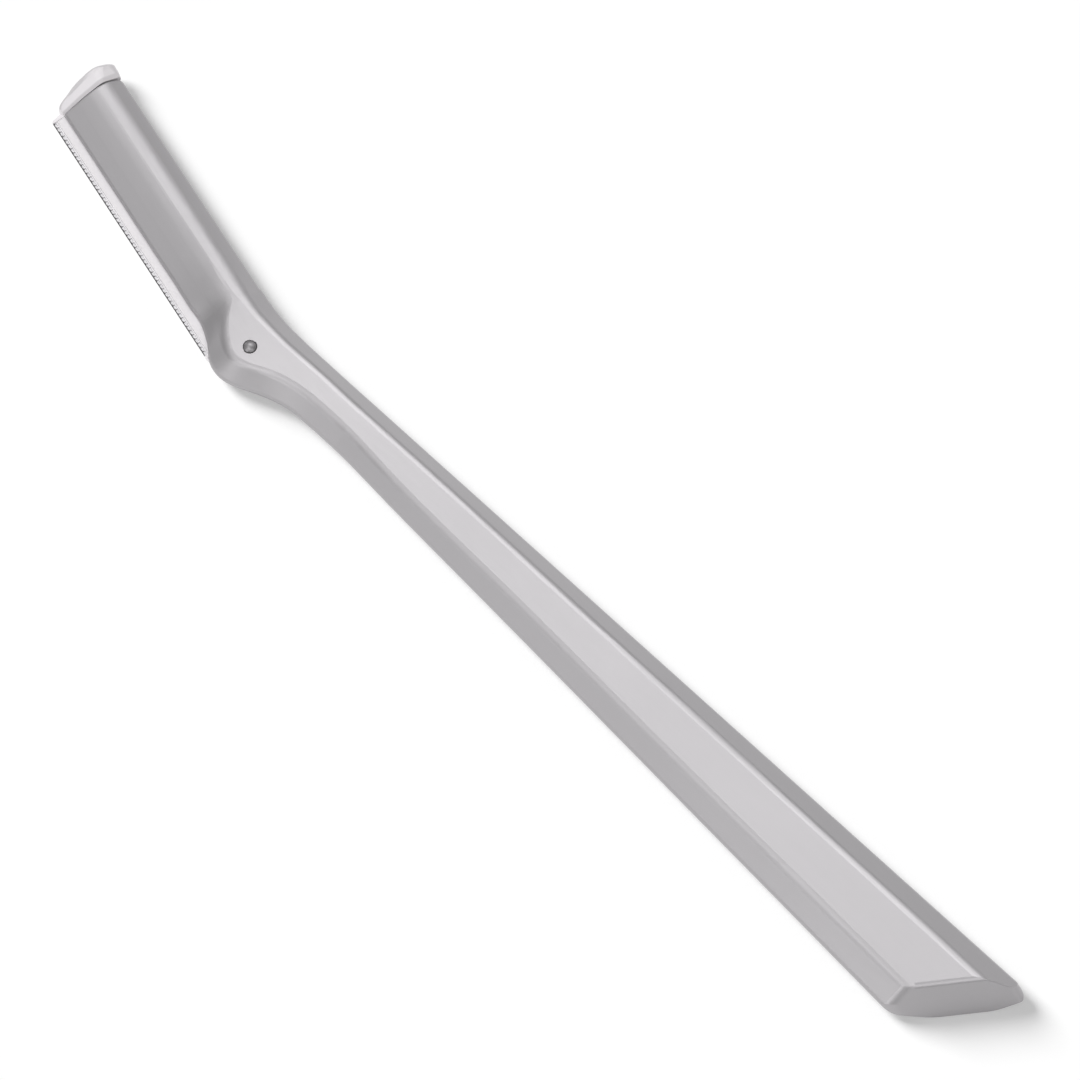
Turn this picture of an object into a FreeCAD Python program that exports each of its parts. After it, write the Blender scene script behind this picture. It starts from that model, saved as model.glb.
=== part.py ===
import FreeCAD, Part
import math
import os

os.makedirs("parts", exist_ok=True)
Vector = FreeCAD.Vector

# Eyebrow razor, lying on its flat underside, in millimetres.
# The origin is on the surface it rests on, below the lock button's axis.
# +X runs down the handle to the butt, +Y to the blunt spine side, +Z up.

overrun = 3.0                 # how far every cut runs past the solid
touch_gap = 0.002             # what lies closer than this counts as touching
middle_share = 0.5
side_share = 0.45             # most of a side that the rounding at one end may take

# Handle, seen from above
butt_reach = 115.15           # button axis to the slanted butt's nose, before its rounding
neck_reach = 15.0             # button axis to where the straight taper starts
axis_offset = 2.315           # handle centreline beside the button axis
neck_width = 6.95
butt_width = 12.85

# Heights of the handle's section
body_height = 4.6             # underside to the top facet
edge_top = 2.0                # top of the blunt side edges
edge_bottom = 1.1             # bottom of the blunt side edges

# Slanted butt
butt_turn = 51.5              # degrees between the cut and the handle's axis
butt_lean = 32.0              # degrees the cut leans out towards its foot
butt_round = 0.16
nose_round = 1.0              # radius of the butt's acute corner
heel_round = 2.4              # radius of its obtuse corner
brow_round = 0.8              # radius between the top facet and the slanted end
cheek_round = 1.6             # radius between the facet above the heel and the slanted end

# Head
head_turn = 12.6              # degrees the head turns from the handle's line
head_length = 36.9            # button axis to the head's open tip, at the lips
tip_skew = 4.2                # degrees the tip runs further out towards the spine
tip_round = 0.22
tip_corner_round = 0.8        # radius of the tip's corner at the spine
lip_reach = 2.98              # button axis line to the thin lips
spine_reach = 5.05            # button axis line to the spine
lip_wall = 0.42               # thickness of the lips above and below the carrier's nose
ridge_drop = 0.55             # how much lower the ridge is at the tip
facet_drop = 0.75             # how much lower the facet's fading edge is at the tip

# Elbow
elbow_reach = 4.43            # button axis to the lobe on the cutting side

# Rounding of the section's corners, as the length taken off each side
edge_blend = 0.34
facet_blend = 0.58
facet_fade = 1.6              # the same corner on the head
ridge_blend = 0.6
ridge_fade = 1.05             # the same corner on the head
under_blend = 0.9

# Places along the head as shares of its length, from tip to elbow, then the left
# and right edges of the top facet as shares of the local width, the fall of the
# ridge and of the facet's edge, and how much of the head's form is left.
head_shares = [
    (0.80, 0.440, 0.719, 0.90, 0.96, 1.0),
    (0.58, 0.440, 0.719, 0.72, 0.92, 1.0),
    (0.40, 0.440, 0.719, 0.52, 0.84, 1.0),
    (0.29, 0.432, 0.721, 0.34, 0.68, 1.0),
    (0.215, 0.415, 0.726, 0.18, 0.44, 0.96),
    (0.165, 0.377, 0.734, 0.06, 0.24, 0.84),
]

# Outline of the elbow: left x, left y, right x, right y as shares of the neck's
# reach, the elbow's reach and the spine's reach, then the facet's two edges as
# shares of the width, the fall of its edge, and how much of the head's form is left.
elbow_shares = [
    (-0.307, -0.590, -0.327, 1.257, 0.320, 0.741, 0.10, 0.58),
    (-0.200, -0.872, -0.200, 1.184, 0.265, 0.762, 0.03, 0.30),
    (-0.107, -0.985, -0.093, 1.133, 0.225, 0.780, 0.0, 0.12),
    (-0.020, -0.993, 0.020, 1.101, 0.205, 0.786, 0.0, 0.03),
    (0.073, -0.915, 0.133, 1.091, 0.218, 0.777, 0.0, 0.0),
    (0.227, -0.675, 0.267, 1.089, 0.250, 0.755, 0.0, 0.0),
    (0.367, -0.478, 0.400, 1.097, 0.262, 0.736, 0.0, 0.0),
    (0.527, -0.339, 0.547, 1.109, 0.266, 0.722, 0.0, 0.0),
    (0.720, -0.290, 0.733, 1.121, 0.273, 0.711, 0.0, 0.0),
]

# Stations of the straight taper as shares from the neck to the butt's nose,
# then the facet's two edges as shares of the width.
handle_shares = [
    (0.0, 0.268, 0.705),
    (0.06, 0.232, 0.722),
    (0.25, 0.224, 0.740),
    (0.45, 0.217, 0.748),
    (0.75, 0.219, 0.762),
]
butt_facet_share = (0.219, 0.768)

# Edges of the flat underside as shares of the width
head_land_share = (0.38, 0.74)
elbow_land_share = (0.12, 0.74)
handle_land_share = (0.28, 0.72)

# Lock button, in a hole through the top facet
button_width = 1.5
button_dome = 0.42            # how far the dome stands above the facet
button_clearance = 0.05
button_travel = 0.4
collar_width = 2.7
hole_chamfer = 0.08

# Blade and comb guard
blade_level = 1.65            # middle of the blade's thickness
blade_thickness = 0.2
blade_width = 5.68
blade_bevel = 0.7
blade_edge_land = 0.02        # thickness left at the ground edge
edge_gap = 0.06               # between the cutting edge and the fold of the guard
foil_thickness = 0.08
guard_proud = 1.62            # how far the comb stands out of the lips
guard_depth = 2.6             # width of the folded foil's leaves
window_count = 56
window_width = 0.48
window_depth = 0.3
rail_width = 0.1              # from the windows to the comb's fold

# Blade carrier
heel_start = 1.95             # button axis to the heel of the carrier's nose
carrier_start = 2.4           # button axis to the carrier's heel wall
heel_wall = 0.3
tip_wall = 0.15
tip_gap = 0.1                 # between the head's tip and the pull tab
tip_proud = 0.1               # how far the nose's tip runs past that gap at the comb
tip_slant = 0.4               # how much further it runs at the lips
nose_proud = 1.05             # how far the carrier's nose stands out of the lips
nose_step = 0.12              # how far out of the lips the nose keeps its thickness
nose_thickness = 0.9          # between the lips
nose_edge = 0.56              # thickness where the comb comes out
nose_depth = 1.4              # length of the parallel nose behind the lips
carrier_waist = 0.8           # button axis line to where the nose's wedge ends
crest_inset = 2.45            # spine to the carrier's highest line
spine_wall = 1.1              # head's wall behind the carrier
waist_roof = 0.9              # below the facet's fading edge at the tip
crest_roof = 1.1              # below the ridge at the tip
carrier_floor = 0.85
back_top = 1.95
back_bottom = 1.35
carrier_clearance = 0.08
half_gap = 0.04               # between the carrier's two halves and the blade's ends
half_ledge = 0.3              # how far the cover runs behind the blade's back
nub_blend = 0.28              # rounding of the nose's two ends
post_count = 4
post_width = 1.1
post_clearance = 0.05
post_sink = 0.15              # how far a post's end lies below the cover's surface

# Forked tail, straddling the button
tail_reach = 2.4
tail_bottom = 1.5
tail_thickness = 0.6
prong_width = 0.9
tail_clearance = 0.05
tail_side_clearance = 0.1
fork_clearance = 0.15

# Pull tab
tab_length = 2.6              # along the head, to the tab's outermost point
tab_proud = 0.2               # how far the tab stands out beyond the spine
tab_step = 0.05               # how far the tab's top lies below the ridge
tab_floor = 0.3
tab_blend = 0.9

# Sections of the tab: place from the head's tip outwards, left and right as shares
# of its width, bottom and top as shares of its height, and its rounding.
tab_shares = [
    (0.0, 0.0, 0.98, 0.0, 1.0, 0.5),
    (0.3, -0.03, 1.0, 0.0, 1.0, 0.8),
    (0.55, 0.04, 1.0, 0.03, 0.98, 1.0),
    (0.77, 0.22, 0.97, 0.09, 0.93, 1.0),
    (0.93, 0.37, 0.86, 0.20, 0.82, 0.8),
    (1.0, 0.55, 0.73, 0.34, 0.64, 0.4),
]

# Corners of the tab's section as shares of its width and height
tab_corner_shares = [
    (0.0, 0.50), (0.35, 0.82), (0.70, 1.0), (1.0, 0.54),
    (1.0, 0.25), (0.80, 0.0), (0.45, 0.0), (0.0, 0.28),
]

# Spring and its cover, in the underside
cover_thickness = 0.4
cover_ledge = 0.3             # rim of the recess that the cover bears on
spring_thickness = 0.1
spring_length = 3.9
spring_width = 2.2
spring_pressed = 0.3          # height left for the spring when the button is pressed
spring_gap = 0.04             # below the collar
spring_room = 0.15            # round the spring and the collar

# Button, its bore and the spring's recess
collar_top = tail_bottom - tail_clearance
collar_bottom = cover_thickness + spring_pressed + button_travel
bore_radius = collar_width / 2 + button_clearance
hole_radius = button_width / 2 + button_clearance
recess_length = spring_length + 2 * spring_room
recess_width = collar_width + 2 * spring_room
cover_length = recess_length + 2 * cover_ledge
cover_width = recess_width + 2 * cover_ledge

# Forked tail and its slot
fork_half = button_width / 2 + fork_clearance
tail_half = fork_half + prong_width
tail_top = tail_bottom + tail_thickness
slot_bottom = tail_bottom - tail_clearance
slot_top = tail_top + tail_clearance

# Cartridge along the head
skew_slope = math.tan(math.radians(tip_skew))
tab_start = head_length + tip_gap
blade_start = carrier_start + heel_wall + half_gap
blade_end = tab_start - tip_wall - half_gap
window_pitch = (blade_end - blade_start) / window_count

# Cartridge across the head, from the button axis line towards the cutting side
guard_reach = lip_reach + guard_proud
guard_back = guard_reach - guard_depth
blade_edge = guard_reach - foil_thickness - edge_gap
blade_back = blade_edge - blade_width
cover_back = blade_back - half_ledge
crest_place = crest_inset - spine_reach
carrier_back = spine_wall - spine_reach
tab_side = -spine_reach - tab_proud

# Heights in the head
nose_top = blade_level + nose_thickness / 2
nose_bottom = blade_level - nose_thickness / 2
nose_low = blade_level - nose_edge / 2
lip_top = nose_top + carrier_clearance + lip_wall
lip_bottom = nose_bottom - carrier_clearance - lip_wall
ridge_low = body_height - ridge_drop
waist_top = body_height - facet_drop - waist_roof
crest_top = ridge_low - crest_roof
tab_top = ridge_low - tab_step


def mix(first, second, share):
    """Value between first (share 0) and second (share 1)."""
    return first + (second - first) * share


def blend_points(corners, blends):
    """Start, corner and end of each rounded corner of a closed outline."""
    rounds = []
    for index, corner in enumerate(corners):
        to_last = corners[index - 1] - corner
        to_next = corners[(index + 1) % len(corners)] - corner
        legs = [min(blends[index], side_share * side.Length) for side in (to_last, to_next)]
        start = corner + to_last.normalize() * legs[0]
        end = corner + to_next.normalize() * legs[1]
        rounds.append((start, corner, end))
    return rounds


def bend(start, corner, end):
    """Smooth arc-like edge that leaves and arrives along the corner's two sides."""
    curve = Part.BezierCurve()
    curve.setPoles([start, corner, end])
    return curve.toShape()


def rounded_wire(corners, blends):
    """Closed wire through the corners, each rounded."""
    rounds = blend_points(corners, blends)
    edges = []
    for index, (start, corner, end) in enumerate(rounds):
        following = rounds[(index + 1) % len(rounds)][0]
        edges.append(bend(start, corner, end))
        edges.append(Part.LineSegment(end, following).toShape())
    return Part.Wire(edges)


def rail(points, places):
    """Smooth curve through one point of every section."""
    curve = Part.BSplineCurve()
    curve.interpolate(Points=points, Parameters=places)
    return curve


def strip(rails, start, end):
    """Face steered by two rails, or rounded between three, from one place to another."""
    first = rails[0]
    across = len(rails) - 1
    poles = [list(row) for row in zip(*(each.getPoles() for each in rails))]
    surface = Part.BSplineSurface()
    surface.buildFromPolesMultsKnots(
        poles, first.getMultiplicities(), [across + 1] * 2, first.getKnots(), [0, 1],
        False, False, first.Degree, across)
    surface.segment(start, end, 0, 1)
    return surface.toShape()


def skin(sections, splits):
    """Solid whose faces run smoothly through all the sections, and meet at the splits."""
    middles = [(corners[0] + corners[3]) / 2 for corners, blends in sections]
    places = [0.0]
    for last, this in zip(middles, middles[1:]):
        places.append(places[-1] + (this - last).Length)
    rounds = [blend_points(corners, blends) for corners, blends in sections]
    count = len(rounds[0])
    rails = [[rail([each[corner][part] for each in rounds], places) for part in range(3)]
             for corner in range(count)]
    ends = [places[index] for index in [0] + splits + [len(places) - 1]]
    faces = []
    for start, end in zip(ends, ends[1:]):
        for index, three in enumerate(rails):
            following = rails[(index + 1) % count][0]
            faces.append(strip(three, start, end))
            faces.append(strip([three[2], following], start, end))
    for corners, blends in (sections[0], sections[-1]):
        faces.append(Part.Face(rounded_wire(corners, blends)))
    shell = Part.makeShell(faces)
    shell.sewShape()
    solid = Part.makeSolid(shell)
    if solid.Volume < 0:
        solid.reverse()
    return solid


def prism(points, direction):
    """Solid made by pushing a flat outline along a direction."""
    face = Part.Face(Part.makePolygon(points + points[:1]))
    return face.extrude(direction)


def block(low, high):
    """Box between two opposite corners."""
    size = high - low
    return Part.makeBox(size.x, size.y, size.z, low)


def obround(length, width, bottom, top):
    """Upright plate with round ends, centred on the button's axis, long along X."""
    half = (length - width) / 2
    middle = block(Vector(-half, -width / 2, bottom), Vector(half, width / 2, top))
    ends = [Part.makeCylinder(width / 2, top - bottom, Vector(side * half, 0, bottom)) for side in (-1, 1)]
    return middle.fuse(ends).removeSplitter()


def in_head(shape):
    """Turn a shape made along +X, cutting side at +Y, into the head's place."""
    turned = shape.copy()
    turned.rotate(Vector(0, 0, 0), Vector(0, 0, 1), 180 - head_turn)
    return turned


def head_point(along, across):
    """Plan point: along the head from the button axis, across towards the spine."""
    turn = math.radians(head_turn)
    x = across * math.sin(turn) - along * math.cos(turn)
    y = across * math.cos(turn) + along * math.sin(turn)
    return Vector(x, y, 0)


def section(left, right, facet, ridge, ridge_fall, facet_fall, head_part, land):
    """Corners and blends of the section in the upright plane through two plan points."""
    def place(share, height):
        return left + (right - left) * share + Vector(0, 0, height)
    corners = [
        place(0, mix(edge_top, lip_top, head_part)),
        place(facet, body_height - facet_drop * facet_fall),
        place(ridge, body_height - ridge_drop * ridge_fall),
        place(1, edge_top),
        place(1, edge_bottom),
        place(land[1], 0),
        place(land[0], 0),
        place(0, mix(edge_bottom, lip_bottom, head_part)),
    ]
    blends = [
        edge_blend,
        mix(facet_blend, facet_fade, head_part),
        mix(ridge_blend, ridge_fade, head_part),
        edge_blend,
        edge_blend,
        under_blend,
        under_blend,
        edge_blend,
    ]
    return corners, blends


def head_sections():
    """Sections from beyond the open tip to the elbow."""
    tip = (head_length + overrun, *head_shares[0][1:3], 1.0, 1.0, 1.0)
    rows = [tip] + [(share * head_length, *rest) for share, *rest in head_shares]
    sections = []
    for along, facet, ridge, ridge_fall, facet_fall, head_part in rows:
        left = head_point(along, -lip_reach)
        right = head_point(along, spine_reach)
        falls = (ridge_fall, facet_fall)
        sections.append(section(left, right, facet, ridge, *falls, head_part, head_land_share))
    return sections


def elbow_sections():
    """Sections round the bend, where the head's form fades out."""
    sections = []
    for left_x, left_y, right_x, right_y, facet, ridge, facet_fall, head_part in elbow_shares:
        left = Vector(left_x * neck_reach, left_y * elbow_reach, 0)
        right = Vector(right_x * neck_reach, right_y * spine_reach, 0)
        toward_handle = max(0, right_x)
        low = mix(elbow_land_share[0], head_land_share[0], head_part)
        low = mix(low, handle_land_share[0], toward_handle)
        land = (low, mix(elbow_land_share[1], handle_land_share[1], toward_handle))
        sections.append(section(left, right, facet, ridge, 0, facet_fall, head_part, land))
    return sections


def handle_sections():
    """Sections of the straight taper, to beyond the butt."""
    rows = handle_shares + [(1 + overrun / (butt_reach - neck_reach), *butt_facet_share)]
    sections = []
    for share, facet, ridge in rows:
        x = mix(neck_reach, butt_reach, share)
        half = mix(neck_width, butt_width, share) / 2
        left = Vector(x, axis_offset - half, 0)
        right = Vector(x, axis_offset + half, 0)
        sections.append(section(left, right, facet, ridge, 0, 0, 0, handle_land_share))
    return sections


def half_space(point, outward):
    """Large block that takes away everything beyond a plane."""
    size = 2 * (butt_reach + head_length)
    cutter = Part.makeBox(size, size, size, Vector(-size / 2, -size / 2, 0))
    cutter.Placement = FreeCAD.Placement(point, FreeCAD.Rotation(Vector(0, 0, 1), outward))
    return cutter


def butt_plane():
    """A point of the slanted end face, at the nose, and its outward direction."""
    turn = math.radians(butt_turn)
    lean = math.radians(butt_lean)
    level = Vector(math.sin(turn), -math.cos(turn), 0)
    nose = Vector(butt_reach, axis_offset + butt_width / 2, edge_top)
    return nose, level * math.cos(lean) + Vector(0, 0, math.sin(lean))


def butt_corners():
    """Rounding cutters for the slanted butt's corners, and for two of its upper edges."""
    turn = math.radians(butt_turn)
    nose, outward = butt_plane()
    slope = (butt_width - neck_width) / 2 / (butt_reach - neck_reach)
    face_width = butt_width / (math.sin(turn) + slope * math.cos(turn))
    heel = nose - Vector(math.cos(turn), math.sin(turn), 0) * face_width
    rise = body_height - edge_top
    level = Vector(outward.x, outward.y, 0).normalize()
    brow = nose + Vector(0, 0, rise) - level * (rise * math.tan(math.radians(butt_lean)))
    corners = [
        (nose, Vector(-slope, 1, 0), nose_round),
        (heel, Vector(-slope, -1, 0), heel_round),
        (heel, Vector(-slope * rise, -rise, butt_facet_share[0] * butt_width), cheek_round),
        (brow, Vector(0, 0, 1), brow_round),
    ]
    return [corner_cutter(corner, outward, side.normalize(), radius) for corner, side, radius in corners]


def corner_cutter(corner, first, second, radius):
    """What lies outside the rounding between two planes, given their outward directions."""
    along = first.cross(second).normalize()
    middle = (first + second).normalize()
    centre = corner - middle * (radius / middle.dot(first))
    start = centre + first * radius
    end = centre + second * radius
    outline = [
        end,
        end + second * overrun,
        corner + (first + second) * overrun,
        start + first * overrun,
        start,
    ]
    edges = [Part.LineSegment(last, this).toShape() for last, this in zip(outline, outline[1:])]
    edges.append(Part.Arc(start, centre + middle * radius, end).toShape())
    face = Part.Face(Part.Wire(edges))
    face.translate(along * -butt_width)
    return face.extrude(along * (2 * butt_width))


def tip_plane():
    """A point of the head's open tip, at the lips, and its outward direction."""
    return head_point(head_length, -lip_reach), head_point(1, -skew_slope).normalize()


def tip_corner():
    """Rounding cutter for the tip's upright corner at the spine."""
    skewed = head_length + (lip_reach + spine_reach) * skew_slope
    corner = head_point(skewed, spine_reach) + Vector(0, 0, edge_top)
    return corner_cutter(corner, tip_plane()[1], head_point(0, 1), tip_corner_round)


def lies_on(edge, point, normal):
    """Whether an edge lies in a plane."""
    middle = mix(edge.FirstParameter, edge.LastParameter, middle_share)
    places = [edge.valueAt(value) for value in (edge.FirstParameter, middle, edge.LastParameter)]
    return all(abs((place - point).dot(normal)) < touch_gap for place in places)


def cartridge_outline(grow, nose):
    """Section of the carrier across the head, with room added all round.

    The nose is given from its end inwards, as reaches and half thicknesses.
    """
    upper = [Vector(0, reach, blade_level + half + grow) for reach, half in nose]
    lower = [Vector(0, reach, blade_level - half - grow) for reach, half in reversed(nose)]
    return upper + [
        Vector(0, lip_reach - nose_depth, nose_top + grow),
        Vector(0, -carrier_waist, waist_top + grow),
        Vector(0, crest_place, crest_top + grow),
        Vector(0, carrier_back - grow, back_top + grow),
        Vector(0, carrier_back - grow, back_bottom - grow),
        Vector(0, crest_place, carrier_floor - grow),
        Vector(0, -carrier_waist, carrier_floor - grow),
        Vector(0, lip_reach - nose_depth, nose_bottom - grow),
    ] + lower


def cartridge_bar(start, end, grow, nose):
    """Carrier's section pushed along the head."""
    points = [point + Vector(start, 0, 0) for point in cartridge_outline(grow, nose)]
    return prism(points, Vector(end - start, 0, 0))


def handle_body():
    """One metal piece: hollow head, elbow, tapered handle and slanted butt."""
    head = head_sections()
    elbow = elbow_sections()
    solid = skin(head + elbow + handle_sections(), [len(head) - 1, len(head) + len(elbow)])
    for plane, radius in ((butt_plane(), butt_round), (tip_plane(), tip_round)):
        solid = solid.cut(half_space(*plane))
        rim = [edge for edge in solid.Edges if lies_on(edge, *plane)]
        solid = solid.makeFillet(radius, rim)
    solid = solid.cut(butt_corners() + [tip_corner()])
    pocket_start = carrier_start - carrier_clearance
    mouth_reach = elbow_reach + overrun
    pocket = cartridge_bar(pocket_start, head_length + overrun, carrier_clearance,
                           [(mouth_reach, nose_thickness / 2)])
    heel_room = nose_edge / 2 + carrier_clearance
    heel_slot = block(
        Vector(heel_start - carrier_clearance, guard_back - carrier_clearance, blade_level - heel_room),
        Vector(carrier_start, mouth_reach, blade_level + heel_room),
    )
    side = tail_half + tail_side_clearance
    tail_slot = block(
        Vector(-tail_reach - tail_side_clearance, -side, slot_bottom),
        Vector(pocket_start + overrun, side, slot_top),
    )
    hole = Part.makeCylinder(hole_radius, body_height + overrun)
    mouth = Part.makeCone(hole_radius, hole_radius + hole_chamfer, hole_chamfer,
                          Vector(0, 0, body_height - hole_chamfer))
    bore = Part.makeCylinder(bore_radius, slot_bottom)
    recess = obround(recess_length, recess_width, 0, collar_bottom)
    seat = obround(cover_length, cover_width, 0, cover_thickness)
    for cutter in (in_head(pocket), in_head(heel_slot), in_head(tail_slot), hole, mouth, bore, recess, seat):
        solid = solid.cut(cutter)
    return solid


def lock_button():
    """Dome, shank and clamping collar, turned in one piece."""
    radius = button_width / 2
    sphere_radius = (radius ** 2 + button_dome ** 2) / (2 * button_dome)
    top = body_height + button_dome
    middle_angle = math.asin(radius / sphere_radius) / 2
    middle = Vector(
        sphere_radius * math.sin(middle_angle),
        0,
        top - sphere_radius * (1 - math.cos(middle_angle)),
    )
    axis_top = Vector(0, 0, top)
    shoulder = Vector(radius, 0, body_height)
    outline = [
        shoulder,
        Vector(radius, 0, collar_top),
        Vector(collar_width / 2, 0, collar_top),
        Vector(collar_width / 2, 0, collar_bottom),
        Vector(0, 0, collar_bottom),
        axis_top,
    ]
    edges = [Part.LineSegment(first, second).toShape() for first, second in zip(outline, outline[1:])]
    edges.append(Part.Arc(axis_top, middle, shoulder).toShape())
    face = Part.Face(Part.Wire(edges))
    return face.revolve(Vector(0, 0, 0), Vector(0, 0, 1), 360)


def button_spring():
    """Bowed leaf, standing on its cover, its crown under the collar."""
    crown = collar_bottom - spring_gap
    half = spring_length / 2
    foot = Vector(-half, 0, cover_thickness)
    other_foot = Vector(half, 0, cover_thickness)
    rise = Vector(0, 0, spring_thickness)
    low_crown = Vector(0, 0, crown - spring_thickness)
    edges = [
        Part.Arc(foot, low_crown, other_foot).toShape(),
        Part.LineSegment(other_foot, other_foot + rise).toShape(),
        Part.Arc(other_foot + rise, low_crown + rise, foot + rise).toShape(),
        Part.LineSegment(foot + rise, foot).toShape(),
    ]
    leaf = Part.Face(Part.Wire(edges)).extrude(Vector(0, spring_width, 0))
    leaf.translate(Vector(0, -spring_width / 2, 0))
    return leaf.common(obround(spring_length, spring_width, 0, collar_bottom))


def spring_cover():
    """Flush plate pressed into the underside."""
    return obround(cover_length, cover_width, 0, cover_thickness)


def post_places():
    """Places of the posts along the head, spread evenly over the blade."""
    span = blade_end - blade_start
    return [blade_start + span * (index + middle_share) / post_count for index in range(post_count)]


def post_cylinders(radius, bottom, top):
    """One upright cylinder at each post."""
    return [Part.makeCylinder(radius, top - bottom, Vector(place, 0, bottom)) for place in post_places()]


def cover_surface_at_posts():
    """Height of the wedge's top face above the button axis line."""
    run = lip_reach - nose_depth
    return mix(nose_top, waist_top, run / (run + carrier_waist))


def blade():
    """Thin steel strip, ground to its edge, with holes for the carrier's posts."""
    low = blade_level - blade_thickness / 2
    high = blade_level + blade_thickness / 2
    outline = [
        Vector(blade_start, blade_back, low),
        Vector(blade_start, blade_edge - blade_bevel, low),
        Vector(blade_start, blade_edge, blade_level - blade_edge_land / 2),
        Vector(blade_start, blade_edge, blade_level + blade_edge_land / 2),
        Vector(blade_start, blade_edge - blade_bevel, high),
        Vector(blade_start, blade_back, high),
    ]
    strip = prism(outline, Vector(blade_end - blade_start, 0, 0))
    return strip.cut(post_cylinders(post_width / 2 + post_clearance, 0, body_height))


def blade_guard():
    """Foil folded over the cutting edge, with a row of windows that makes it a fine comb."""
    inner = blade_thickness / 2
    outer = inner + foil_thickness
    bend_middle = guard_reach - outer
    nose = Vector(blade_start, guard_reach, blade_level)
    inner_nose = Vector(blade_start, guard_reach - foil_thickness, blade_level)

    def at(across, rise):
        return Vector(blade_start, across, blade_level + rise)
    edges = [
        Part.LineSegment(at(guard_back, outer), at(bend_middle, outer)).toShape(),
        Part.Arc(at(bend_middle, outer), nose, at(bend_middle, -outer)).toShape(),
        Part.LineSegment(at(bend_middle, -outer), at(guard_back, -outer)).toShape(),
        Part.LineSegment(at(guard_back, -outer), at(guard_back, -inner)).toShape(),
        Part.LineSegment(at(guard_back, -inner), at(bend_middle, -inner)).toShape(),
        Part.Arc(at(bend_middle, -inner), inner_nose, at(bend_middle, inner)).toShape(),
        Part.LineSegment(at(bend_middle, inner), at(guard_back, inner)).toShape(),
        Part.LineSegment(at(guard_back, inner), at(guard_back, outer)).toShape(),
    ]
    foil = Part.Face(Part.Wire(edges)).extrude(Vector(blade_end - blade_start, 0, 0))
    first = blade_start + (window_pitch - window_width) / 2
    outside = guard_reach - rail_width
    windows = []
    for index in range(window_count):
        start = first + window_pitch * index
        windows.append(block(
            Vector(start, outside - window_depth, blade_level - outer - overrun),
            Vector(start + window_width, outside, blade_level + outer + overrun),
        ))
    return foil.cut(windows)


def guard_room():
    """Space that the blade and the folded guard take between the carrier's halves."""
    half = blade_thickness / 2
    outer = half + foil_thickness
    blade_room = block(
        Vector(carrier_start + heel_wall, cover_back, blade_level - half),
        Vector(tab_start - tip_wall, guard_reach + overrun, blade_level + half),
    )
    foil_room = block(
        Vector(carrier_start + heel_wall, guard_back - half_gap, blade_level - outer),
        Vector(tab_start - tip_wall, guard_reach + overrun, blade_level + outer),
    )
    return blade_room.fuse(foil_room)


def cover_room():
    """Space of the cover half: above the blade, between the end walls."""
    return block(
        Vector(carrier_start + heel_wall, cover_back, blade_level),
        Vector(tab_start - tip_wall, lip_reach + overrun, body_height),
    )


def nose_end(inner, outer, slant):
    """End of the carrier's nose, which closes the folded guard's end."""
    outline = [
        Vector(inner, guard_back, nose_low),
        Vector(inner, guard_reach, nose_low),
        Vector(outer, guard_reach, nose_low),
        Vector(outer + slant, lip_reach, nose_low),
        Vector(outer + slant, guard_back, nose_low),
    ]
    solid = prism(outline, Vector(0, 0, nose_edge))
    corner = [edge for edge in solid.Edges if stands_at(edge, outer, guard_reach)]
    return solid.makeFillet(nub_blend, corner)


def stands_at(edge, x, y):
    """Whether an edge is upright and passes through a plan point."""
    places = [vertex.Point for vertex in edge.Vertexes]
    return all(math.hypot(place.x - x, place.y - y) < touch_gap for place in places)


def pull_tab():
    """Rounded cap across the head's tip, bowed outwards when seen from above."""
    sections = []
    for depth, left, right, low, high, rounding in tab_shares:
        along = tab_start + tab_length * depth
        left_side = mix(lip_reach, tab_side, left)
        right_side = mix(lip_reach, tab_side, right)
        bottom = mix(tab_floor, tab_top, low)
        top = mix(tab_floor, tab_top, high)
        corners = []
        for across, up in tab_corner_shares:
            side = mix(left_side, right_side, across)
            shift = (lip_reach - side) * skew_slope
            corners.append(Vector(along + shift, side, mix(bottom, top, up)))
        sections.append((corners, [tab_blend * rounding] * len(corners)))
    return skin(sections, [])


def tail():
    """Fork that straddles the button between its collar and the top wall."""
    plate = block(
        Vector(-tail_reach, -tail_half, tail_bottom),
        Vector(carrier_start + heel_wall / 2, tail_half, tail_top),
    )
    gap = block(
        Vector(-tail_reach - overrun, -fork_half, tail_bottom - overrun),
        Vector(0, fork_half, tail_top + overrun),
    )
    eye = Part.makeCylinder(fork_half, tail_top + overrun)
    return plate.cut([gap, eye])


def carrier_bar():
    """Both halves of the carrier in one, without the room for blade and guard."""
    nose = [(lip_reach + nose_proud, nose_edge / 2), (lip_reach + nose_step, nose_thickness / 2)]
    end = tab_start + (lip_reach - carrier_back) * skew_slope
    tab_side_face = half_space(Vector(tab_start, lip_reach, 0), Vector(1, skew_slope, 0))
    return cartridge_bar(carrier_start, end, 0, nose).cut(tab_side_face)


def blade_carrier():
    """Lower half with end walls, spine block, posts, forked tail and pull tab."""
    bar = carrier_bar().cut([guard_room(), cover_room()])
    posts = post_cylinders(post_width / 2, nose_bottom, cover_surface_at_posts() - post_sink)
    ends = [
        nose_end(carrier_start + heel_wall, heel_start, 0),
        nose_end(tab_start - tip_wall, tab_start + tip_proud, tip_slant),
    ]
    return bar.fuse([pull_tab(), tail()] + ends + posts).removeSplitter()


def carrier_cover():
    """Upper half, held by the posts."""
    room = block(
        Vector(blade_start, cover_back + half_gap, blade_level),
        Vector(blade_end, lip_reach + overrun, body_height),
    )
    half = carrier_bar().common(room).cut(guard_room())
    return half.cut(post_cylinders(post_width / 2 + post_clearance, 0, body_height))


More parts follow.
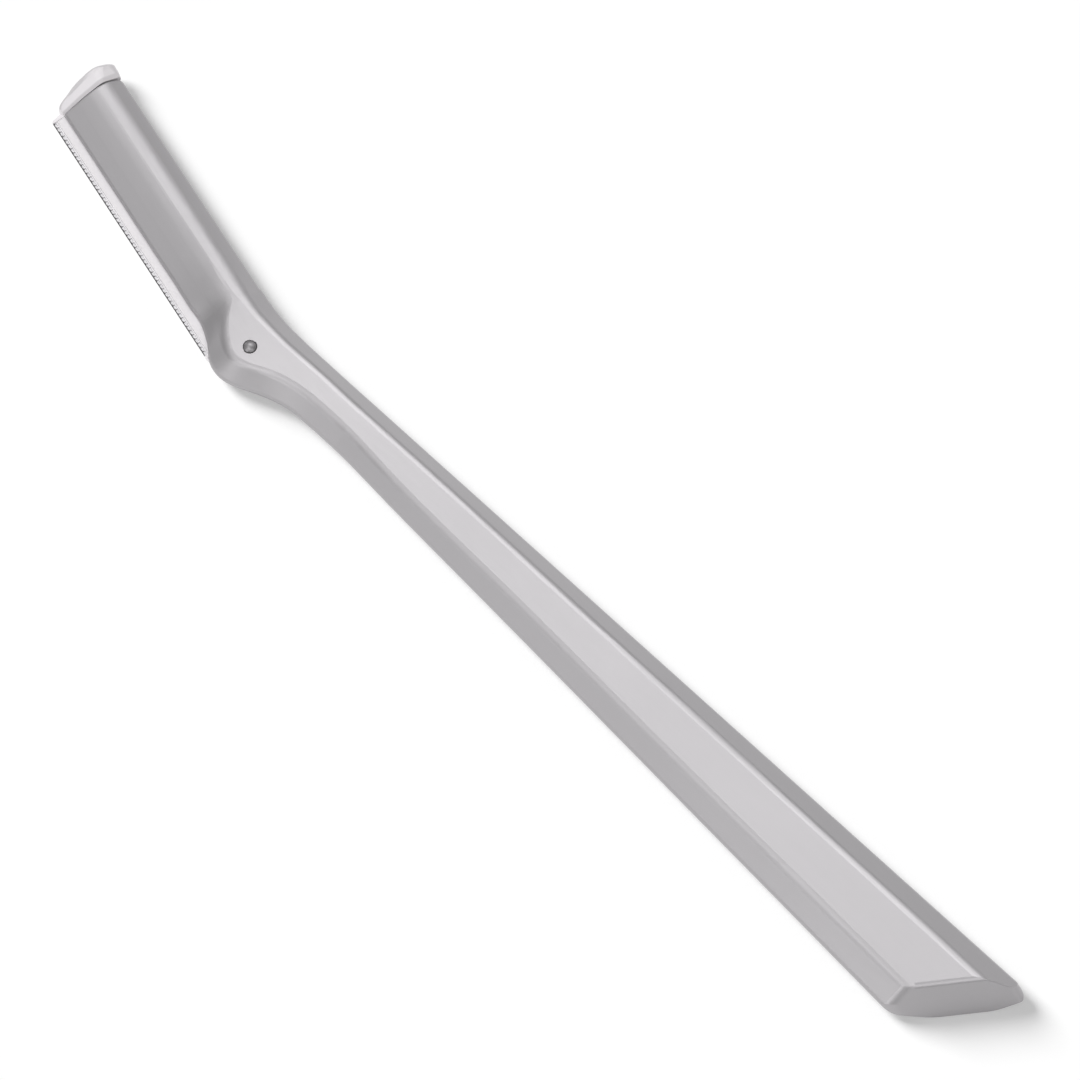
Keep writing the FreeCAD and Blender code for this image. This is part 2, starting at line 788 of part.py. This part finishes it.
pieces = {
    "handle_body": handle_body(),
    "lock_button": lock_button(),
    "button_spring": button_spring(),
    "spring_cover": spring_cover(),
    "blade_carrier": in_head(blade_carrier()),
    "carrier_cover": in_head(carrier_cover()),
    "blade": in_head(blade()),
    "blade_guard": in_head(blade_guard()),
}

for name, shape in pieces.items():
    shape.exportStep("parts/" + name + ".step")
    box = shape.BoundBox
    print(name, "solids", len(shape.Solids), "valid", shape.isValid(), "volume", round(shape.Volume, 3),
          "x", round(box.XMin, 2), round(box.XMax, 2), "y", round(box.YMin, 2), round(box.YMax, 2),
          "z", round(box.ZMin, 3), round(box.ZMax, 3))
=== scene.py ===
import bpy
import math
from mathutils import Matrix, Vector


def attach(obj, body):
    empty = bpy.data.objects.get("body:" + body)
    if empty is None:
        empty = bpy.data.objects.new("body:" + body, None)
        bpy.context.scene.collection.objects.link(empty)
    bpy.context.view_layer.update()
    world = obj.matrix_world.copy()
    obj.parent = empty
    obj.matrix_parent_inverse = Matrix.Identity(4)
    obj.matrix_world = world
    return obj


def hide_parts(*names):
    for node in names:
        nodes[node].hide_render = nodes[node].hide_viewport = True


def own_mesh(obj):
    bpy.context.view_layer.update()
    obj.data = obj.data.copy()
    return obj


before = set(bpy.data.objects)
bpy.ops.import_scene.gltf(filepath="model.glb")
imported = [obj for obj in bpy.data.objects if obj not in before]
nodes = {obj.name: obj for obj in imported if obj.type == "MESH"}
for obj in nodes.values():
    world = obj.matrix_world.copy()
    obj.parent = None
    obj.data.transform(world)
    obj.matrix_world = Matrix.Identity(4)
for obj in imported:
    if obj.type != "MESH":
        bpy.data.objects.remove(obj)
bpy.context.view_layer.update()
bpy.ops.object.select_all(action="DESELECT")
print("stage: frame loaded,", len(nodes), "nodes")

mm = 0.001


# shader maths: one socket, with the operators that the materials use

class Wire:
    def __init__(self, tree, socket):
        self.tree = tree
        self.socket = socket

    def node(self, kind, settings=None, inputs=None, out=0):
        made = self.tree.nodes.new(kind)
        for name, value in (settings or {}).items():
            setattr(made, name, value)
        for name, value in (inputs or {}).items():
            target = made.inputs[name]
            if isinstance(value, Wire):
                self.tree.links.new(value.socket, target)
            else:
                target.default_value = value
        return Wire(self.tree, made.outputs[out])

    def math(self, operation, *values):
        return self.node("ShaderNodeMath", {"operation": operation}, dict(enumerate((self, *values))))

    def __add__(self, other): return self.math("ADD", other)
    def __radd__(self, other): return self.math("ADD", other)
    def __sub__(self, other): return self.math("SUBTRACT", other)
    def __rsub__(self, other): return (self * -1.0).math("ADD", other)
    def __mul__(self, other): return self.math("MULTIPLY", other)
    def __rmul__(self, other): return self.math("MULTIPLY", other)

    def clamp(self):
        return self.node("ShaderNodeClamp", {}, {"Value": self, "Min": 0.0, "Max": 1.0})

    def rise(self, start, end):
        # 0 below start, 1 above end, smooth between
        return self.node("ShaderNodeMapRange", {"interpolation_type": "SMOOTHSTEP"},
                         {"Value": self, "From Min": start, "From Max": end})

    def parts(self):
        return [self.node("ShaderNodeSeparateXYZ", {}, {"Vector": self}, out=i) for i in range(3)]

    def noise(self, scale, detail, roughness):
        return self.node("ShaderNodeTexNoise", {}, {"Vector": self, "Scale": scale, "Detail": detail,
                                                    "Roughness": roughness})

    def blend(self, first, second):
        # colour between first (self is 0) and second (self is 1)
        return self.node("ShaderNodeMix", {"data_type": "RGBA"}, {0: self, 6: first, 7: second}, out=2)


def vector(x, y, z):
    return x.node("ShaderNodeCombineXYZ", {}, {"X": x, "Y": y, "Z": z})


def newMaterial(name, shader):
    # Principled material; shader holds the constants of its own sockets
    material = bpy.data.materials.new(name)
    material.use_nodes = True
    tree = material.node_tree
    principled = tree.nodes["Principled BSDF"]
    for socket, value in shader.items():
        principled.inputs[socket].default_value = value
    start = Wire(tree, tree.nodes.new("ShaderNodeTexCoord").outputs["Object"])

    def feed(socket, wire):
        tree.links.new(wire.socket, principled.inputs[socket])
    return material, start, feed


def bumpFrom(height, strength, distance):
    return height.node("ShaderNodeBump", {}, {"Height": height, "Strength": strength,
                                              "Distance": distance})


def tone(shade, times=1.0):
    # a colour made lighter or darker, as a shader takes it
    return tuple(min(1.0, part * times) for part in shade) + (1,)


def paint(name, material):
    # gives a CAD node its finish
    node = nodes[name]
    node.data.materials.clear()
    node.data.materials.append(material)


# satin steel of the handle and the spring's cover, its lengths in millimetres

satin = {
    "shade": (0.48, 0.467, 0.48),
    "contrast": 0.20,            # how far streaks go to the dark and the light side of the shade
    "roughness": 0.45,
    "paintedSideShade": 0.92,           # painted shade: how much darker the sides are than the top facet
    "headRoughness": 0.04,       # how much rougher the head is
    "topFace": (4.3, 4.55),      # heights where the sides' painted shade passes into the top facet's tone
    "headEnd": (-4.0, 3.0),      # where the head's finish passes into the handle's, along the razor
    "bend": math.radians(12.6),  # the head's brushing follows the head
    "streakScale": 6.0,          # streaks per millimetre across the brushing
    "streakLength": 0.05,
    "broadScale": 0.22,          # broad streaks against the fine ones
    "cloudScale": (0.05, 0.09, 0.09),
    "fineTone": 0.10,            # shares of the fine streaks, the broad ones and the clouds in the tone
    "broadTone": 0.05,
    "cloudTone": 0.06,
    "fineRough": 0.12,           # and in the roughness
    "cloudRough": 0.10,
    "streakHeight": 0.0024,      # how high the fine streaks stand
    "ridgeAt": 2.42,             # from the button's line to the head's rounded ridge
    "crownReach": 2.0,           # how far to each side the polishing has softened it
    "crownFall": 0.12,           # and how deep
    "crownEnd": (-9.0, -4.0),    # where it runs out towards the elbow
}


def inMillimetres(place):
    return [part * (1.0 / mm) for part in place.parts()]


def towardsEdge(place):
    # millimetres from the button's line towards the cutting side of the head
    x, y, z = place.parts()
    turn = satin["bend"]
    return (x * -math.sin(turn) - y * math.cos(turn)) * (1.0 / mm)


def satinSteel():
    material, place, feed = newMaterial("satinSteel", {"Metallic": 1.0})
    x, y, z = inMillimetres(place)
    inHead = 1.0 - x.rise(*satin["headEnd"])
    turn = satin["bend"]
    along = x + inHead * (x * (math.cos(turn) - 1.0) - y * math.sin(turn))
    across = y + inHead * (x * math.sin(turn) + y * (math.cos(turn) - 1.0))
    brushed = vector(along * satin["streakLength"], across, z)
    fine = brushed.noise(satin["streakScale"], detail=3.0, roughness=0.6)
    broad = brushed.noise(satin["streakScale"] * satin["broadScale"], detail=2.0, roughness=0.5)
    cloudX, cloudY, cloudZ = satin["cloudScale"]
    cloud = vector(x * cloudX, y * cloudY, z * cloudZ).noise(1.0, detail=3.0, roughness=0.55)
    level = ((fine - 0.5) * satin["fineTone"] + (broad - 0.5) * satin["broadTone"]
             + (cloud - 0.5) * satin["cloudTone"] + 0.5)
    dark, light = 1.0 - satin["contrast"], 1.0 + satin["contrast"]
    # the sides take a darker copy of the top facet's tone: painted shade
    top = level.clamp().blend(tone(satin["shade"], dark), tone(satin["shade"], light))
    shadedSides = level.clamp().blend(tone(satin["shade"], dark * satin["paintedSideShade"]),
                                tone(satin["shade"], light * satin["paintedSideShade"]))
    onTop = z.rise(*satin["topFace"])
    feed("Base Color", onTop.blend(shadedSides, top))
    feed("Roughness", satin["roughness"] + inHead * satin["headRoughness"]
         + (fine - 0.5) * satin["fineRough"] + (cloud - 0.5) * satin["cloudRough"])
    fromRidge = (towardsEdge(place) + satin["ridgeAt"]).math("ABSOLUTE")
    crown = (1.0 - fromRidge.rise(0.0, satin["crownReach"])) * (1.0 - x.rise(*satin["crownEnd"]))
    feed("Normal", bumpFrom(fine * satin["streakHeight"] - crown * satin["crownFall"], 1.0, mm))
    return material


steel = satinSteel()
for name in ("handle_body", "spring_cover"):
    paint(name, steel)
print("stage: satin steel")


# small bright metal pieces, their lengths in millimetres

smallMetal = {
    "lock_button": {"name": "buttonSteel", "shade": (0.34, 0.33, 0.34), "roughness": 0.45, "grains": 3.0},
    "button_spring": {"name": "springSteel", "shade": (0.50, 0.50, 0.52), "roughness": 0.3, "grains": 2.0},
    "blade": {"name": "bladeSteel", "shade": (0.78, 0.77, 0.79), "roughness": 0.4, "grains": 4.0},
}
grainValues = {
    "dark": 0.86,                # the grain's darkest and lightest tones against the shade
    "light": 1.08,
    "rough": 0.12,               # how much the grain changes the roughness
    "bump": 0.05,
    "height": 0.01,
}


def grainFinish(place, feed, roughness, grains):
    # grains is their number per millimetre
    grain = place.noise(grains / mm, detail=3.0, roughness=0.6)
    feed("Roughness", roughness + (grain - 0.5) * grainValues["rough"])
    feed("Normal", bumpFrom(grain, grainValues["bump"], grainValues["height"] * mm))
    return grain


def plainMetal(name, shade, roughness, grains):
    material, place, feed = newMaterial(name, {"Metallic": 1.0})
    grain = grainFinish(place, feed, roughness, grains)
    feed("Base Color", grain.blend(tone(shade, grainValues["dark"]), tone(shade, grainValues["light"])))
    return material


for node, values in smallMetal.items():
    paint(node, plainMetal(**values))


guard = {
    "pale": (0.56, 0.545, 0.56),
    # painted shade at the comb's folded edge and between its teeth
    "dark": (0.10, 0.097, 0.10),
    "paleGrain": (0.94, 1.04),   # the grain's darkest and lightest tones against the pale shade
    "paintedShadeEdge": (4.34, 4.56),        # from the button's line to where the comb's painted shade begins and is darkest
    "roughness": 0.4,
    "grains": 3.0,
}


def combSteel():
    material, place, feed = newMaterial("combSteel", {"Metallic": 1.0})
    grain = grainFinish(place, feed, guard["roughness"], guard["grains"])
    darkest, lightest = guard["paleGrain"]
    bright = grain.blend(tone(guard["pale"], darkest), tone(guard["pale"], lightest))
    # the comb is painted dark towards its edge: painted shade
    feed("Base Color", towardsEdge(place).rise(*guard["paintedShadeEdge"]).blend(bright, tone(guard["dark"])))
    return material


paint("blade_guard", combSteel())
print("stage: small metal pieces")


# leaf spring: a merged, smooth-shaded copy of the spring, carried with the handle

leafValues = {
    "travel": 0.4 * mm,          # how far the button goes down
    "merge": 0.001 * mm,         # corners nearer than this are one
    "crease": math.radians(30),  # edges sharper than this stay sharp
}


def springLeaf():
    leaf = bpy.data.objects.new("springLeaf", nodes["button_spring"].data.copy())
    bpy.context.collection.objects.link(leaf)
    leaf.select_set(True)
    bpy.context.view_layer.objects.active = leaf
    bpy.ops.object.mode_set(mode="EDIT")
    bpy.ops.mesh.select_all(action="SELECT")
    bpy.ops.mesh.remove_doubles(threshold=leafValues["merge"])
    bpy.ops.object.mode_set(mode="OBJECT")
    bpy.ops.object.shade_smooth_by_angle(angle=leafValues["crease"])
    leaf.select_set(False)
    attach(leaf, "handle")
    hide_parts("button_spring")
    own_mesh(leaf)


springLeaf()
print("stage: leaf spring")


# pale plastic of the blade carrier, its lengths in millimetres

plasticValues = {
    "inside": {"Metallic": 0.0, "Subsurface Weight": 0.25, "Subsurface Radius": (1, 1, 1),
               "Subsurface Scale": 0.3 * mm, "IOR": 1.46},  # the shader takes metres
    "rim": (0.575, 0.555, 0.57),  # painted shade where the tab turns down, and along its inner edge
    # a painted highlight along the tab's crown
    "crown": (0.765, 0.74, 0.76),
    "turn": (0.74, 0.88),        # how far the surface faces up, where the rim ends and the crown begins
    "innerAt": -37.25,           # line beside the tab's inner edge
    "innerSlant": 0.12,
    "innerBand": (0.35, 0.65),   # from that line to where the rim ends and the crown begins
    "noseFrom": (2.9, 3.1),      # from the button's line to the nose beside the comb
    # painted light: the nose is lighter than the tab's plastic; its clouds are the plastic's own
    "noseDark": (0.78, 0.755, 0.775),
    "noseLight": (0.82, 0.795, 0.815),
    "roughness": 0.32,
    "cloudRough": 0.1,
    "clouds": 0.35,              # clouds and grains per millimetre
    "grains": 4.0,
    "bump": 0.04,
    "height": 0.01,
}


def palePlastic():
    material, place, feed = newMaterial("palePlastic", plasticValues["inside"])
    cloud = place.noise(plasticValues["clouds"] / mm, detail=2.0, roughness=0.5)
    facing = place.node("ShaderNodeTexCoord", out="Normal").parts()[2]
    x, y, z = inMillimetres(place)
    fromInner = plasticValues["innerAt"] + y * plasticValues["innerSlant"] - x
    # the tab is painted darker where its surface turns down and beside its inner edge, and lighter on its
    # crown: painted shade and highlight
    paintedHighlightMask = facing.rise(*plasticValues["turn"]) * fromInner.rise(*plasticValues["innerBand"])
    paintedTabShading = paintedHighlightMask.blend(tone(plasticValues["rim"]), tone(plasticValues["crown"]))
    # the nose is painted lighter than the tab: painted light
    nosePaintedLight = cloud.blend(tone(plasticValues["noseDark"]), tone(plasticValues["noseLight"]))
    feed("Base Color", towardsEdge(place).rise(*plasticValues["noseFrom"]).blend(paintedTabShading, nosePaintedLight))
    feed("Roughness", plasticValues["roughness"] + (cloud - 0.5) * plasticValues["cloudRough"])
    grain = place.noise(plasticValues["grains"] / mm, detail=2.0, roughness=0.5)
    feed("Normal", bumpFrom(grain, plasticValues["bump"], plasticValues["height"] * mm))
    return material


plastic = palePlastic()
for name in ("blade_carrier", "carrier_cover"):
    paint(name, plastic)
print("stage: plastic")


# floor, lights and camera

floorValues = {
    "size": 3.0,
    "middle": (0.04, 0, 0),
    "shade": (0.68, 0.68, 0.68),
    "grain": 0.985,              # the grain's darkest tone against the shade
    "grainScale": 900.0,
    "surface": {"Roughness": 0.9, "Specular IOR Level": 0.1, "Emission Color": (1, 1, 1, 1),
                "Emission Strength": 0.30},
}


def makeFloor():
    bpy.ops.mesh.primitive_plane_add(size=floorValues["size"], location=floorValues["middle"])
    floor = bpy.context.object
    floor.name = "floor"
    material, place, feed = newMaterial("floorPaper", floorValues["surface"])
    grain = place.noise(floorValues["grainScale"], detail=3.0, roughness=0.6)
    dark, light = tone(floorValues["shade"], floorValues["grain"]), tone(floorValues["shade"])
    feed("Base Color", grain.blend(dark, light))
    floor.data.materials.append(material)
    floor.select_set(False)


def makeLamp(name, azimuth, elevation, spread, glow, lit):
    # a far soft lamp: a round patch of the sky, spread degrees wide, with an even glow
    data = bpy.data.lights.new(name, "SUN")
    data.angle = math.radians(spread)
    data.energy = glow * math.pi * math.sin(data.angle / 2) ** 2
    lamp = bpy.data.objects.new(name, data)
    lamp.light_linking.receiver_collection = lit
    bpy.context.collection.objects.link(lamp)
    turn, rise = math.radians(azimuth), math.radians(elevation)
    away = Vector((math.cos(turn) * math.cos(rise), math.sin(turn) * math.cos(rise), math.sin(rise)))
    lamp.rotation_euler = away.to_track_quat("Z", "Y").to_euler()


# angles in degrees, and how bright each lamp's patch is
lamps = {
    "topLamp": {"azimuth": 135, "elevation": 58, "spread": 30, "glow": 1.65},
    "mainLamp": {"azimuth": 135, "elevation": 45, "spread": 40, "glow": 0.84},
    "spineHighLamp": {"azimuth": 90, "elevation": 65, "spread": 40, "glow": 0.65},
    "spineLamp": {"azimuth": 90, "elevation": 40, "spread": 40, "glow": 1.19},
    "edgeHighLamp": {"azimuth": -90, "elevation": 65, "spread": 40, "glow": 1.08},
    "edgeLamp": {"azimuth": -90, "elevation": 40, "spread": 40, "glow": 0.42},
    "edgeLowLamp": {"azimuth": -90, "elevation": 15, "spread": 30, "glow": 1.67},
    "tipHighLamp": {"azimuth": 180, "elevation": 65, "spread": 40, "glow": 0.39},
    "tipLowLamp": {"azimuth": 180, "elevation": 15, "spread": 30, "glow": 0.61},
    "tipEdgeLamp": {"azimuth": -135, "elevation": 45, "spread": 40, "glow": 0.26},
    "buttLamp": {"azimuth": -45, "elevation": 45, "spread": 40, "glow": 1.29},
    "buttLowLamp": {"azimuth": 0, "elevation": 25, "spread": 40, "glow": 0.83},
}
floorLamps = {
    "floorKey": {"azimuth": 187, "elevation": 30, "spread": 23, "glow": 36.5},
}
skyValues = {"level": 0.32, "seen": 1.0}  # the even light all round, and how bright a camera sees it


def litGroup(name, state):
    # what a lamp lights: the floor alone, or all but the floor
    group = bpy.data.collections.new(name)
    group.objects.link(bpy.data.objects["floor"])
    group.collection_objects[0].light_linking.link_state = state
    return group


def makeLight():
    razorOnly = litGroup("razorOnly", "EXCLUDE")
    floorOnly = litGroup("floorOnly", "INCLUDE")
    for name, values in lamps.items():
        makeLamp(name, lit=razorOnly, **values)
    for name, values in floorLamps.items():
        makeLamp(name, lit=floorOnly, **values)
    world = bpy.data.worlds.new("studio")
    world.use_nodes = True
    tree = world.node_tree
    background = tree.nodes["Background"]
    background.inputs["Color"].default_value = (1, 1, 1, 1)
    seen = Wire(tree, tree.nodes.new("ShaderNodeLightPath").outputs["Is Camera Ray"])
    glow = seen * (skyValues["seen"] - skyValues["level"]) + skyValues["level"]
    tree.links.new(glow.socket, background.inputs["Strength"])
    bpy.context.scene.world = world


cameraValues = {
    "azimuth": math.radians(45.025),
    "elevation": math.radians(72.0),
    "distance": 0.600,
    "aim": (40.039 * mm, 7.051 * mm, 4.6 * mm),
    "lens": 176.53,
    "sensor": 36.0,
}


def makeCamera():
    azimuth, elevation = cameraValues["azimuth"], cameraValues["elevation"]
    back = Vector((math.sin(azimuth) * math.cos(elevation),
                   -math.cos(azimuth) * math.cos(elevation),
                   math.sin(elevation)))
    data = bpy.data.cameras.new("camera")
    data.sensor_width = cameraValues["sensor"]
    data.lens = cameraValues["lens"]
    camera = bpy.data.objects.new("camera", data)
    bpy.context.collection.objects.link(camera)
    camera.location = Vector(cameraValues["aim"]) + back * cameraValues["distance"]
    camera.rotation_euler = back.to_track_quat("Z", "Y").to_euler()
    bpy.context.scene.camera = camera


makeFloor()
makeLight()
makeCamera()
bpy.context.scene.view_settings.view_transform = "Standard"
print("stage: floor, light and camera")
